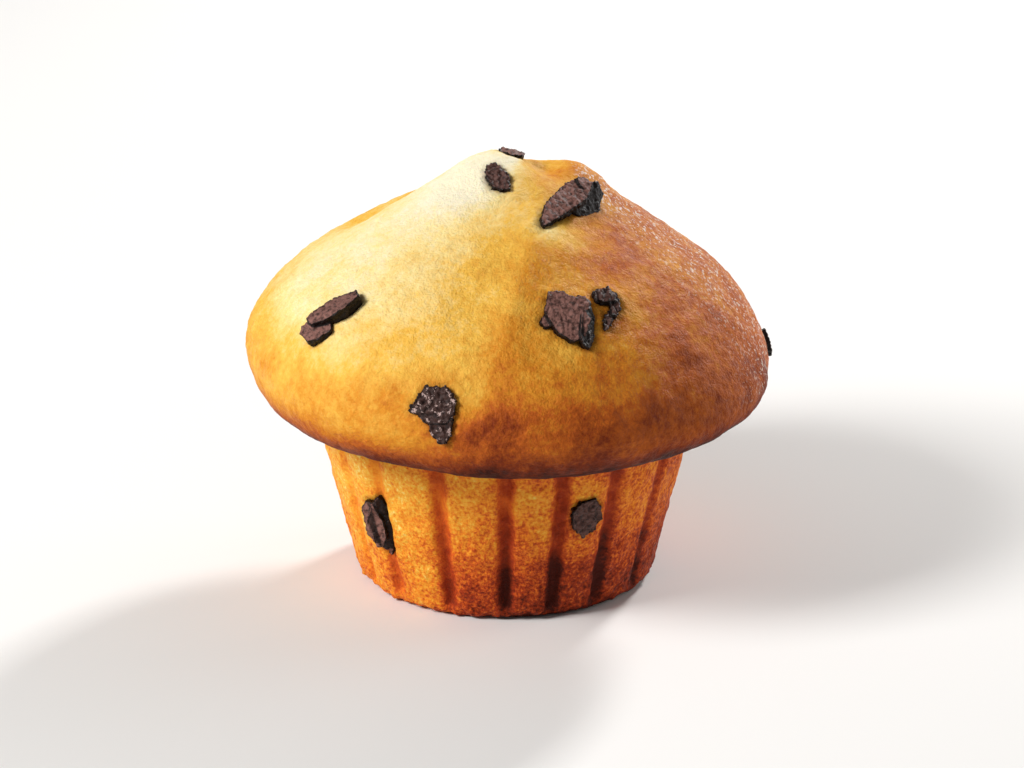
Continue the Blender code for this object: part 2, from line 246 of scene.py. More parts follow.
class Site:
    """A vertex of the cake before its fine relief: where it is and what part it belongs to."""

    def __init__(self, zone, bearing, level, point):
        self.zone = zone            # floor, wall, under, rim or dome
        self.bearing = bearing
        self.level = level          # height on the wall, turn on the rim, share on the dome
        self.point = point


def bearings(count):
    return [360.0 * step / count for step in range(count)]


def floor_rings():
    rings = []
    for radius, count in FLOOR_RINGS:
        rings.append([Site("floor", b, radius, from_bearing(b, radius, 0.0)) for b in bearings(count)])
    return rings


def corner_rings():
    """The rounded corner between floor and wall."""
    slope = (SHOULDER_RADIUS - BASE_RADIUS) / STUMP_HEIGHT
    rings = []
    for step in range(CORNER_RINGS):
        turn = math.radians(90.0 * step / CORNER_RINGS)
        radius = BASE_RADIUS + BASE_CORNER * (slope - 1.0 + math.sin(turn))
        height = BASE_CORNER * (1.0 - math.cos(turn))
        rings.append([
            Site("wall", b, height, from_bearing(b, radius + pleat_relief(b, height), height))
            for b in bearings(AROUND)
        ])
    return rings


def wall_rings():
    rings = []
    top = STUMP_HEIGHT - SHOULDER_FILLET
    for step in range(WALL_RINGS):
        height = BASE_CORNER + (top - BASE_CORNER) * step / WALL_RINGS
        amount = WALL_LUMPS * step_between(height, BASE_CORNER, BASE_CORNER + WALL_CALM)
        ring = []
        for b in bearings(AROUND):
            waver = PLEAT_WAVER * noise.noise(Vector((b * 0.35, height * 0.5, 2.0)))
            ring.append(Site("wall", b, height, uneven(wall_point(b, height, waver), amount)))
        rings.append(ring)
    return rings


def under_rings():
    """The hollow fillet at the shoulder, then the cap's underside."""
    rings = []
    for step in range(FILLET_RINGS):
        turn = math.radians(90.0 * step / FILLET_RINGS)
        top = STUMP_HEIGHT - SHOULDER_FILLET * (1.0 - math.sin(turn))
        ring = []
        for b in bearings(AROUND):
            wall = uneven(wall_point(b, STUMP_HEIGHT - SHOULDER_FILLET), WALL_LUMPS)
            start = math.hypot(wall.x, wall.y)
            end = SHOULDER_RADIUS + SHOULDER_FILLET
            radius = start + (end - start) * (1.0 - math.cos(turn))
            level = from_bearing(b, radius, top)
            ring.append(Site("under", b, 0.0, level.lerp(tilted(level), math.sin(turn))))
        rings.append(ring)
    inner = SHOULDER_RADIUS + SHOULDER_FILLET
    outer = CAP_RADIUS - RIM_WIDTH
    for step in range(UNDERSIDE_RINGS):
        share = step / UNDERSIDE_RINGS
        ring = []
        for b in bearings(AROUND):
            radius = inner + (outer * cap_scale(b) - inner) * share
            ring.append(Site("under", b, share, tilted(from_bearing(b, radius, STUMP_HEIGHT))))
        rings.append(ring)
    return rings


def rim_rings():
    rings = []
    for step in range(RIM_RINGS):
        turn = 90.0 * step / RIM_RINGS
        amount = CAP_LUMPS * math.sin(math.radians(turn))
        rings.append([Site("rim", b, turn, uneven(rim_point(b, turn), amount)) for b in bearings(AROUND)])
    return rings


def dome_rings():
    rings = []
    for step in range(DOME_RINGS):
        share = math.cos(0.5 * math.pi * step / DOME_RINGS)
        nth = next(nth for outside, nth in DOME_THINNING if share > outside)
        rings.append([
            Site("dome", b, share, uneven(dome_point(b, share), CAP_LUMPS))
            for b in bearings(AROUND // nth)
        ])
    return rings


def bridge(faces, lower, upper):
    """Join two rings of vertex numbers, where one may have half as many as the other."""
    if len(lower) == len(upper):
        for step in range(len(lower)):
            after = (step + 1) % len(lower)
            faces.append((lower[step], lower[after], upper[after], upper[step]))
        return
    fine, coarse = (lower, upper) if len(lower) > len(upper) else (upper, lower)
    for step in range(len(coarse)):
        after = coarse[(step + 1) % len(coarse)]
        low = [fine[(2 * step + k) % len(fine)] for k in range(3)]
        fan = [(low[0], low[1], coarse[step]), (low[1], after, coarse[step]), (low[1], low[2], after)]
        faces += fan if fine is lower else [tuple(reversed(face)) for face in fan]


def cap_off(faces, ring, middle, upward):
    """Close a ring with a fan of triangles round one vertex."""
    for step in range(len(ring)):
        pair = (ring[step], ring[(step + 1) % len(ring)])
        faces.append((*pair, middle) if upward else (*reversed(pair), middle))


def cake_sites_and_faces():
    rings = floor_rings() + corner_rings() + wall_rings() + under_rings() + rim_rings() + dome_rings()
    sites = []
    numbers = []
    for ring in rings:
        numbers.append(list(range(len(sites), len(sites) + len(ring))))
        sites += ring
    faces = []
    for lower, upper in zip(numbers, numbers[1:]):
        bridge(faces, lower, upper)
    sites.append(Site("floor", 0.0, 0.0, Vector((0.0, 0.0, 0.0))))
    cap_off(faces, numbers[0], len(sites) - 1, upward=False)
    sites.append(Site("dome", 0.0, 0.0, uneven(dome_point(0.0, 0.0), CAP_LUMPS)))
    cap_off(faces, numbers[-1], len(sites) - 1, upward=True)
    return sites, faces


# ---------------------------------------------------------------------------
# The cake's fine relief and how brown it is baked, with painted light and shade in that brown
# ---------------------------------------------------------------------------

GRAIN_FLOOR = 0.8           # the wall's grain starts above this height
PIN_HOLE = (-81.0, 0.53)    # bearing and share of a little burst bubble on the left slope
PIN_RADIUS = 0.95
LIP_SWELL = 0.30            # height of the fold across the front of the rim


def fractal(point, size, octaves=3):
    """Noise from about -1 to 1 whose largest features have this size in millimetres."""
    return noise.fractal(point / size, 1.0, 2.1, octaves)


def lip_height(bearing):
    """Height of the fold that crosses the front of the rim, where the batter ran out twice."""
    rise = step_between(bearing, -16.0, 2.0)
    return 38.0 + 7.2 * rise - 2.0 * step_between(bearing, 18.0, 50.0)


def lip_share(site):
    """How far a point lies under the fold across the front of the rim, from 0 to 1."""
    if site.zone not in ("rim", "dome"):
        return 0.0
    turn = turn_between(site.bearing, 0.0)
    waver = 1.4 * noise.noise(site.point / 6.0)
    height = lip_height(turn) + waver
    under = 1.0 - step_between(site.point.z, height - 2.2, height + 1.6)
    ends = step_between(turn, -17.0, -8.0) * (1.0 - step_between(turn, 18.0, 50.0))
    return under * ends


def streaks(point, bearing):
    """Fine wrinkles that run down the slope."""
    angle = math.radians(bearing)
    across = point.x * math.cos(angle) + point.y * math.sin(angle)
    down = math.hypot(point.x, point.y) - point.z
    return noise.noise(Vector((across / 0.75, down / 3.2, bearing * 0.02)))


def dome_relief(site):
    """Fine relief of the cap's upper side."""
    point = site.point
    relief = 0.16 * fractal(point, 5.0) + 0.13 * fractal(point + Vector((9.0, 0.0, 0.0)), 1.6, 3)
    right = bump_at(turn_between(site.bearing, 95.0), 0.0, 62.0)
    high = step_between(site.level, 0.1, 0.3) * (1.0 - step_between(site.level, 0.9, 1.0))
    relief += 0.20 * right * high * streaks(point, site.bearing)
    away = (point - uneven(dome_point(*PIN_HOLE), CAP_LUMPS)).length / PIN_RADIUS
    relief += 0.22 * bump_at(away, 0.9, 0.4) - 0.5 * bump_at(away, 0.0, 0.45)
    return relief + LIP_SWELL * lip_share(site)


def painted_glint_band_share(site):
    """Where the cap's right side gets painted glints, pale specks that stand for highlights; its
    wrinkles' bump is a little stronger there too.
    """
    if site.zone not in ("rim", "dome"):
        return 0.25
    right = bump_at(turn_between(site.bearing, 105.0), 0.0, 48.0)
    if site.zone == "rim":
        return 0.5 * right
    return right * step_between(site.level, 0.12, 0.3)


def rim_relief(site):
    """Fine relief of the rim's lower half: long wrinkles that run around it."""
    point = site.point
    angle = math.radians(site.bearing)
    around = Vector((6.0 * math.cos(angle), 6.0 * math.sin(angle), point.z / 0.9))
    relief = 0.14 * fractal(point, 4.0) + 0.05 * fractal(point, 1.3, 2)
    return relief + 0.10 * noise.noise(around) + LIP_SWELL * lip_share(site)


def rib_share(site, waver=0.0):
    """1 on a rib, 0 in a groove. Where the pleats are faint it stays near 1."""
    beside = step_between(groove_distance(site.bearing) + waver, 0.55, 1.75)
    strength = min(1.0, 1.25 * pleat_strength(site.bearing, site.point.z))
    return 1.0 - strength * (1.0 - beside)


def wall_relief(site):
    """Crumbly ribs and smooth grooves, with a ragged edge at the floor."""
    point = site.point
    ribs = 0.25 + 0.75 * rib_share(site)
    grain = 0.20 * fractal(point, 1.5, 3) + 0.15 * fractal(point, 3.6, 2)
    above = step_between(point.z, 0.0, GRAIN_FLOOR)
    low = 1.0 - step_between(point.z, 1.0, 4.5)
    ragged = 0.55 * low * noise.noise(Vector((point.x / 1.6, point.y / 1.6, point.z / 1.2)))
    return above * (ribs * grain + ragged)


RELIEF = {
    "floor": lambda site: 0.0,
    "wall": wall_relief,
    "under": lambda site: 0.10 * fractal(site.point, 2.4),
    "rim": rim_relief,
    "dome": dome_relief,
}


def cap_bake_and_painted_light(site):
    """Pale at the crown and high on the left, golden in front, browner to the right and low down. The
    pale left and crown are partly painted light where the key lamp falls, and the brown right, low rim
    and underside are partly painted shade.
    """
    point = site.point
    share = site.level if site.zone == "dome" else 1.0
    # left is the side the key lamp lights, right the side in shade: paler on the left is partly painted
    # light, browner on the right partly painted shade, besides the real bake
    left = bump_at(turn_between(site.bearing, -68.0), 0.0, 66.0)
    right = bump_at(turn_between(site.bearing, 75.0), 0.0, 62.0)
    high = step_between(point.z, RIM_HEIGHT + 2.0, RIM_HEIGHT + 20.0)
    crown = 1.0 - step_between(share, 0.15, 0.50)
    # the crown stays pale mostly on its left half, where the key lamp falls: painted light
    west = 1.0 - step_between(point.x, -7.0, 7.0)
    bake_and_painted_light = 0.58 - 0.45 * left * (0.25 + 0.75 * high) - 0.24 * crown * (0.3 + 0.7 * west)
    bake_and_painted_light += 0.12 * right * (1.0 - crown)
    # browner low on the cap, less on the lit left: partly bake, partly painted shade
    low = 1.0 - step_between(point.z, RIM_HEIGHT - 1.0, RIM_HEIGHT + 15.0)
    bake_and_painted_light += 0.10 * low * (1.0 - 0.7 * left)
    boss = math.hypot(point.x - 7.0, point.y + 17.0)
    bake_and_painted_light -= 0.34 * bump_at(boss, 0.0, 3.4)
    # a browner strip along the ridge's right flank, away from the key lamp: painted shade
    run = RIDGE_FOOT - RIDGE_TOP
    along = (Vector((point.x, point.y)) - RIDGE_TOP).dot(run) / run.length_squared
    aside = (Vector((point.x - 1.2, point.y)) - RIDGE_TOP - run * along).length
    bake_and_painted_light += 0.08 * bump_at(aside, 0.0, 3.0) * step_between(along, -0.1, 0.2)
    bake_and_painted_light += 0.08 * lip_share(site) + 0.07 * fractal(point, 8.0)
    # the rim's underside darkens to nearly burnt, less on the lit left: partly real bake, partly painted
    # shade under the rim
    if site.zone == "rim":
        down = 1.0 - step_between(site.level, 25.0, 90.0)
        bake_and_painted_light += (1.05 - 0.16 * left - bake_and_painted_light) * down
    return bake_and_painted_light


def wall_bake_and_painted_light(site):
    """Golden ribs and brown grooves, browner toward the floor and in patches. Paler on the key-lit left
    is painted light, browner on the shaded right is painted shade, and the grooves' brown is partly
    painted shade.
    """
    point = site.point
    # left faces the key lamp and right lies in shade: paler on the left is painted light, browner on the
    # right painted shade
    left = bump_at(turn_between(site.bearing, -62.0), 0.0, 36.0)
    right = bump_at(turn_between(site.bearing, 55.0), 0.0, 60.0)
    low = 1.0 - step_between(point.z, 3.0, 20.0)
    turn = turn_between(site.bearing, 0.0)
    bake_and_painted_light = 0.38 - 0.15 * left + 0.15 * right
    bake_and_painted_light += (0.16 + 0.24 * step_between(turn, -26.0, -8.0) - 0.10 * right) * low
    # the grooves are browner, less on the lit left: partly the crust's tone, partly painted shade in the
    # creases
    bake_and_painted_light += 0.26 * (1.0 - rib_share(site, 0.4 * noise.noise(point / 3.0))) * (1.0 - 0.5 * left)
    bake_and_painted_light += 0.16 * (1.0 - step_between(point.z, 0.3, 1.8))
    return bake_and_painted_light + 0.13 * fractal(point, 5.0)


BAKE_AND_PAINTED_LIGHT = {
    "floor": lambda site: 0.84 + 0.06 * fractal(site.point, 6.0),
    "wall": wall_bake_and_painted_light,
    # the cap's underside, nearly burnt: partly bake, partly painted shade
    "under": lambda site: 0.98 + 0.05 * fractal(site.point, 6.0),
    "rim": cap_bake_and_painted_light,
    "dome": cap_bake_and_painted_light,
}


# ---------------------------------------------------------------------------
# Chocolate
# ---------------------------------------------------------------------------

# A chunk on the dome gives its distance from the peak as a share of the cap's
# radius, and one on the wall gives its height. Its blocks broke off a bar of
# chocolate together and meet there.
Chunk = namedtuple("Chunk", "name on bearing at blocks")

# A block lies to the right of its chunk's place and uphill from it. `top` is
# how far it shows above the cake. `heading` turns its length from rightward
# to uphill. `rise` slopes its top up along its length and `tip` across it, in
# degrees. `taper` narrows its far end.
Block = namedtuple("Block", "right uphill length width top heading rise tip taper")

BLOCK_DEPTH = 2.6           # how deep a block goes into the cake
BLOCK_FOOT = 0.78           # size of its foot, as a share of its outline
BLOCK_REACH = 1.08          # its corners lie a little outside its length and width

CHUNKS = (
    Chunk("crown_rear", "dome", -140.0, 0.073, (
        Block(-0.8, 0.2, 4.4, 4.2, 0.4, 10.0, -10.0, 0.0, 0.0),)),
    Chunk("crown_left", "dome", -33.0, 0.14, (
        Block(0.3, -0.6, 6.6, 4.0, 0.8, -35.0, 0.0, 0.0, 0.1),)),
    Chunk("crown_right", "dome", 51.0, 0.265, (
        Block(-3.3, -0.3, 14.0, 4.3, 1.9, 15.0, 11.0, 0.0, -0.25),
        Block(2.0, -1.2, 8.2, 4.2, 1.4, 8.0, 5.0, 38.0, 0.0),
        Block(2.6, 1.0, 3.4, 3.0, 3.0, 40.0, 0.0, 10.0, 0.0))),
    Chunk("cap_left", "dome", -48.0, 0.845, (
        Block(-0.3, 1.2, 9.8, 5.0, 1.5, 55.0, 0.0, -14.0, 0.0),
        Block(-1.1, -3.3, 5.4, 4.6, 0.9, 30.0, -6.0, 0.0, 0.0))),
    Chunk("cap_right", "dome", 16.5, 0.725, (
        Block(-0.4, 0.4, 9.4, 6.6, 1.2, 105.0, 0.0, 0.0, 0.0),
        Block(2.1, 2.5, 3.6, 3.0, 1.1, -15.0, 0.0, 0.0, 0.0),
        Block(-3.6, 0.0, 2.8, 2.2, 0.7, 40.0, 0.0, 0.0, 0.0),
        Block(2.6, -1.7, 8.0, 2.8, 0.9, 78.0, 0.0, 30.0, 0.0))),
    Chunk("cap_right_arc", "dome", 29.5, 0.685, (
        Block(0.1, 1.3, 4.6, 3.2, 1.1, 0.0, 0.0, 0.0, 0.0),
        Block(1.1, -0.6, 4.8, 1.9, 0.8, 65.0, 0.0, 0.0, 0.0),
        Block(-1.0, -3.1, 4.0, 1.4, 0.5, 52.0, 0.0, 0.0, 0.0))),
    Chunk("cap_front", "dome", -15.0, 0.97, (
        Block(0.1, 0.8, 7.0, 6.0, 0.8, 0.0, 0.0, 0.0, 0.0),
        Block(-2.9, 0.1, 2.6, 2.0, 0.6, 40.0, 0.0, 0.0, 0.0),
        Block(1.4, -2.4, 6.2, 4.0, 0.6, -78.0, -5.0, 0.0, 0.25))),
    Chunk("rim_right", "dome", 102.0, 0.999, (
        Block(0.0, 0.0, 4.8, 4.2, 1.0, 90.0, 0.0, 0.0, 0.0),)),
    Chunk("wall_left", "wall", -47.0, 15.2, (
        Block(-0.2, 0.2, 9.6, 4.2, 1.1, 93.0, 0.0, -14.0, 0.0),
        Block(1.3, 0.5, 9.6, 4.0, 0.9, 93.0, 0.0, 26.0, 0.0),
        Block(1.6, -3.9, 3.8, 1.4, 0.4, -86.0, 0.0, 0.0, 0.2))),
    Chunk("wall_right", "wall", 26.0, 19.5, (
        Block(-0.2, 0.1, 7.4, 5.6, 0.7, 95.0, 0.0, 0.0, 0.0),)),
    Chunk("back_high", "dome", 188.0, 0.40, (
        Block(0.0, 0.0, 8.6, 5.0, 1.4, 30.0, 6.0, 0.0, 0.1),
        Block(2.0, -1.8, 4.6, 4.0, 0.9, 80.0, 0.0, 10.0, 0.0))),
    Chunk("back_left", "dome", 211.0, 0.86, (
        Block(0.0, 0.0, 7.8, 6.4, 1.0, 115.0, 0.0, 0.0, 0.1),)),
    Chunk("back_middle", "dome", 168.0, 0.74, (
        Block(-1.0, 0.0, 10.4, 5.0, 1.2, 20.0, 4.0, 0.0, 0.0),
        Block(3.0, -1.6, 5.2, 3.6, 0.8, -50.0, 0.0, 8.0, 0.1))),
    Chunk("back_right", "dome", 142.0, 0.86, (
        Block(0.0, 0.0, 7.2, 5.0, 0.9, 70.0, 0.0, -6.0, 0.0),)),
    Chunk("back_low", "dome", 186.0, 0.96, (
        Block(0.0, 0.0, 8.0, 5.2, 0.8, 140.0, 0.0, 5.0, 0.1),
        Block(-2.4, -1.6, 4.0, 3.0, 0.5, 60.0, 0.0, 0.0, 0.0))),
    Chunk("wall_back", "wall", 176.0, 16.0, (
        Block(0.0, 0.0, 7.6, 5.0, 0.6, 70.0, 0.0, 0.0, 0.1),)),
    Chunk("wall_back_left", "wall", 236.0, 22.0, (
        Block(0.0, 0.0, 6.0, 4.6, 0.5, 105.0, 0.0, 0.0, 0.0),)),
)

BLOCK_CORNERS = 8           # corners of a block's outline
CHUNK_VOXEL = 0.16          # how finely a chunk is remeshed, in millimetres
CHIP_SPACING = 1.1          # chips on every chunk, in millimetres
CRUMBLE_SPACING = 0.75      # finer lumps on the rough ones
ROUGH_CHUNKS = {            # those with crumbled faces, and how dark and speckled they are
    "cap_front": 1.0,
    "cap_right_arc": 0.7,
    "crown_left": 0.6,
    "wall_right": 0.6,
    "back_low": 0.9,
    "back_left": 0.6,
}


def add_float_attribute(mesh, name, values):
    attribute = mesh.attributes.new(name, "FLOAT", "POINT")
    attribute.data.foreach_set("value", np.asarray(values, dtype=np.float32))


def surface_point(chunk, bearing, at):
    """The cake's surface where a chunk sits, without its fine relief."""
    if chunk.on == "dome":
        return uneven(dome_point(bearing, at), CAP_LUMPS)
    return uneven(wall_point(bearing, at), WALL_LUMPS)


def seat(chunk):
    """The matrix of a place on the cake: X runs to the right, Y uphill and Z out of the cake."""
    nearby = 0.01 if chunk.on == "dome" else 0.5
    place = surface_point(chunk, chunk.bearing, chunk.at)
    uphill = surface_point(chunk, chunk.bearing, chunk.at - nearby) - place
    if chunk.on == "wall":
        uphill = -uphill
    sideways = surface_point(chunk, chunk.bearing + 1.0, chunk.at) - place
    out = sideways.cross(uphill).normalized()
    uphill.normalize()
    axes = Matrix((uphill.cross(out), uphill, out)).transposed().to_4x4()
    return Matrix.Translation(place) @ axes


def block_points(block, seed):
    """Corners of a block of chocolate, in its chunk's seat: an uneven top and a smaller foot."""
    heading = math.radians(block.heading)
    along = Vector((math.cos(heading), math.sin(heading), 0.0))
    across = Vector((-math.sin(heading), math.cos(heading), 0.0))
    middle = Vector((block.right, block.uphill, 0.0))
    points = []
    for corner in range(BLOCK_CORNERS):
        sample = Vector((seed * 5.3, corner * 1.7, 1.5))
        turn = 2.0 * math.pi * (corner + 0.5 + 0.45 * noise.noise(sample)) / BLOCK_CORNERS
        reach = BLOCK_REACH * (1.0 + 0.2 * noise.noise(sample + Vector((0.0, 0.0, 9.0))))
        far = 0.5 * block.length * reach * math.cos(turn)
        aside = 0.5 * block.width * reach * math.sin(turn) * (1.0 - block.taper * math.cos(turn))
        height = block.top + 0.25 * noise.noise(sample + Vector((4.0, 0.0, 0.0)))
        height += far * math.tan(math.radians(block.rise)) + aside * math.tan(math.radians(block.tip))
        flat = far * along + aside * across
        points.append(middle + flat + Vector((0.0, 0.0, height)))
        points.append(middle + BLOCK_FOOT * flat - Vector((0.0, 0.0, BLOCK_DEPTH)))
    return points


def hull(points):
    """A closed convex mesh round some points."""
    mesh = bmesh.new()
    for point in points:
        mesh.verts.new(point)
    result = bmesh.ops.convex_hull(mesh, input=mesh.verts)
    inside = {item for item in result["geom_interior"] if isinstance(item, bmesh.types.BMVert)}
    bmesh.ops.delete(mesh, geom=list(inside), context="VERTS")
    bmesh.ops.recalc_face_normals(mesh, faces=mesh.faces)
    return mesh


def broken_relief(point, number, rough):
    """Relief of broken chocolate in its seat: chips with sharp edges, and fine lines along the break."""
    shifted = point + Vector((number * 13.0, 0.0, 0.0))
    near, next_near = noise.voronoi(shifted / CHIP_SPACING)[0][:2]
    chips = 0.55 * min(0.3, next_near - near) - 0.10
    if rough:
        near = noise.voronoi(shifted / CRUMBLE_SPACING + Vector((3.0, 1.0, 2.0)))[0][0]
        return chips + 0.54 * (0.35 - near) + 0.30 * fractal(shifted, 0.8, 3)
    lines = noise.noise(Vector((shifted.x / 0.45, shifted.y / 2.5, shifted.z / 0.6)))
    hollows = max(0.0, noise.noise(shifted / 1.6))
    return chips + 0.12 * lines + 0.16 * fractal(shifted, 0.9, 3) - 0.25 * hollows


def remeshed(mesh, name):
    """The union of a mesh's closed bodies, in even small faces."""
    source = bpy.data.meshes.new(name)
    mesh.to_mesh(source)
    piece = bpy.data.objects.new(name, source)
    bpy.context.scene.collection.objects.link(piece)
    remesh = piece.modifiers.new("remesh", "REMESH")
    remesh.mode = "VOXEL"
    remesh.voxel_size = CHUNK_VOXEL
    evaluated = piece.evaluated_get(bpy.context.evaluated_depsgraph_get())
    fine = bpy.data.meshes.new_from_object(evaluated)
    piece.modifiers.clear()
    piece.data = fine
    fine.name = name
    return piece


def make_chunk(number, chunk, material):
    """One chunk of chocolate, broken and chipped, which stands for its CAD solid."""
    blocks = bmesh.new()
    for step, block in enumerate(chunk.blocks):
        body = hull(block_points(block, 4 * number + step))
        loose = bpy.data.meshes.new("block")
        body.to_mesh(loose)
        body.free()
        blocks.from_mesh(loose)
        bpy.data.meshes.remove(loose)
    piece = remeshed(blocks, "chocolate_" + chunk.name)
    blocks.free()
    fine = piece.data

    rough = chunk.name in ROUGH_CHUNKS
    places = np.zeros(3 * len(fine.vertices), dtype=np.float32)
    normals = np.zeros(3 * len(fine.vertices), dtype=np.float32)
    fine.vertices.foreach_get("co", places)
    fine.vertices.foreach_get("normal", normals)
    places = places.reshape(-1, 3)
    normals = normals.reshape(-1, 3)
    relief = np.array([broken_relief(Vector(place), number, rough) for place in places])
    moved = places + normals * relief[:, None]
    fine.vertices.foreach_set("co", moved.ravel())
    add_float_attribute(fine, "facing", normals[:, 2])
    speckled = ROUGH_CHUNKS.get(chunk.name, 0.0)
    add_float_attribute(fine, "rough", np.full(len(places), speckled))
    fine.transform(Matrix.Scale(MM, 4) @ seat(chunk))
    fine.update()
    fine.shade_smooth()
    fine.materials.append(material)
    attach(piece, "root")
    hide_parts("chunk_" + chunk.name)
    return piece


# ---------------------------------------------------------------------------
# The cake's mesh
# ---------------------------------------------------------------------------

POCKET_SINK = 1.5           # how far the cake drops away under a chunk
POCKET_MOAT = 0.06          # shallow ring around a chunk
POCKET_LIP = 0.14           # slight swell outside that ring
POCKET_WAVER = 0.18         # unevenness of that ring
POCKET_REACH = 13.0         # a chunk changes nothing farther than this from its place


def block_planes(chunk, number):
    """For each block of a chunk, its faces' planes in the cake's frame, in millimetres."""
    place = seat(chunk)
    blocks = []
    for step, block in enumerate(chunk.blocks):
        body = hull([place @ point for point in block_points(block, 4 * number + step)])
        body.normal_update()
        normals = np.array([tuple(face.normal) for face in body.faces])
        offsets = np.array([face.normal.dot(face.verts[0].co) for face in body.faces])
        blocks.append((normals, offsets))
        body.free()
    return blocks


def pocket_relief(cloud):
    """How the cake gives way to its chunks: relief and stain for each point."""
    relief = np.zeros(len(cloud))
    stain = np.zeros(len(cloud))
    for number, chunk in enumerate(CHUNKS):
        place = seat(chunk).translation
        close = np.nonzero(np.linalg.norm(cloud - np.array(place), axis=1) < POCKET_REACH)[0]
        away = np.full(len(close), POCKET_REACH)
        for normals, offsets in block_planes(chunk, number):
            away = np.minimum(away, (cloud[close] @ normals.T - offsets).max(axis=1))
        for index, distance in zip(close, away):
            waver = POCKET_WAVER * noise.noise(Vector(cloud[index]) / 0.9)
            sink = 1.0 - step_between(distance + waver, -1.1, -0.15)
            moat = bump_at(distance + waver, 0.1, 0.3)
            lip = bump_at(distance + waver, 1.1, 0.6)
            relief[index] += POCKET_LIP * lip - POCKET_MOAT * moat - POCKET_SINK * sink
            stain[index] = max(stain[index], 1.0 - step_between(distance + 3.0 * waver, 0.0, 0.8))
    return relief, stain


def make_cake(material):
    """The cake in one closed mesh, which stands for its CAD solid."""
    sites, faces = cake_sites_and_faces()
    points = [site.point for site in sites]
    mesh = bpy.data.meshes.new("cake_crust")
    mesh.from_pydata([tuple(point) for point in points], [], faces)
    normals = np.zeros(3 * len(points), dtype=np.float32)
    mesh.vertices.foreach_get("normal", normals)
    normals = normals.reshape(-1, 3)

    relief = np.array([RELIEF[site.zone](site) for site in sites])
    cloud = np.array([tuple(point) for point in points])
    dents, stain = pocket_relief(cloud)
    places = cloud + normals * (relief + dents)[:, None]
    places[:, 2] = np.maximum(places[:, 2], 0.0)
    mesh.vertices.foreach_set("co", (places * MM).ravel())
    # the tone value holds the bake together with painted light and shade
    add_float_attribute(mesh, "bake_and_painted_light", [BAKE_AND_PAINTED_LIGHT[site.zone](site) for site in sites])
    add_float_attribute(mesh, "grain", [rib_share(s) if s.zone == "wall" else 0.0 for s in sites])
    add_float_attribute(mesh, "wall", [1.0 if s.zone in ("wall", "floor") else 0.0 for s in sites])
    # the band where pale specks are painted as glints
    add_float_attribute(mesh, "painted_glint_band", [painted_glint_band_share(s) for s in sites])
    add_float_attribute(mesh, "stain", stain)
    mesh.update()
    mesh.shade_smooth()
    mesh.materials.append(material)
    piece = bpy.data.objects.new("cake_crust", mesh)
    bpy.context.scene.collection.objects.link(piece)
    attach(piece, "root")
    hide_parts("cake")
    return piece


# ---------------------------------------------------------------------------
# Materials
# ---------------------------------------------------------------------------

def linear(red, green, blue):
    """An sRGB colour from 0 to 255 as linear numbers, with alpha."""
    def one(value):
        value = value / 255.0
        return value / 12.92 if value <= 0.04045 else ((value + 0.055) / 1.055) ** 2.4
    return one(red), one(green), one(blue), 1.0


CAP_TONES = (               # the cap, from hardly baked to nearly burnt; the pale and dark ends also carry painted light and shade
    (0.00, (250, 238, 205)),
    (0.20, (250, 222, 150)),
    (0.40, (240, 186, 76)),
    (0.58, (218, 140, 38)),
    (0.72, (186, 92, 26)),
    (0.86, (126, 48, 14)),
    (1.00, (60, 18, 6)),
)
WALL_TONES = (              # the stump, from pale crumb to its burnt edge; the tones also carry painted light and shade
    (0.00, (250, 228, 140)),
    (0.20, (248, 186, 66)),
    (0.40, (242, 146, 40)),
    (0.58, (216, 98, 32)),
    (0.75, (166, 58, 22)),
    (1.00, (74, 22, 10)),
)
STAIN_TONE = (120, 66, 36)
# pale specks painted as glints: painted highlights
PAINTED_GLINT_TONE = (250, 238, 212)
# the chunks' dark sides are partly painted shade, their lighter outer faces partly bloom and partly
# painted light
CHOCOLATE_SHADED_SIDE = (24, 11, 8)
CHOCOLATE_BLOOMED_LIT_FACE = (140, 98, 88)
CHOCOLATE_SPECK = (205, 176, 168)
FLOOR_TONE = (236, 234, 231)

BLOTCH_SIZE = 5.5           # sizes of the crust's patterns, in millimetres
GLOSS_SIZE = 2.2
MOTTLE_SIZE = 1.2
WRINKLE_SIZE = 0.9
# size of the painted glints
PAINTED_GLINT_SIZE = 0.65
CRUMB_SIZE = 0.6
PORE_SIZE = 0.4
SPECK_SIZE = 0.9            # and of the chocolate's
PIT_SIZE = 0.7


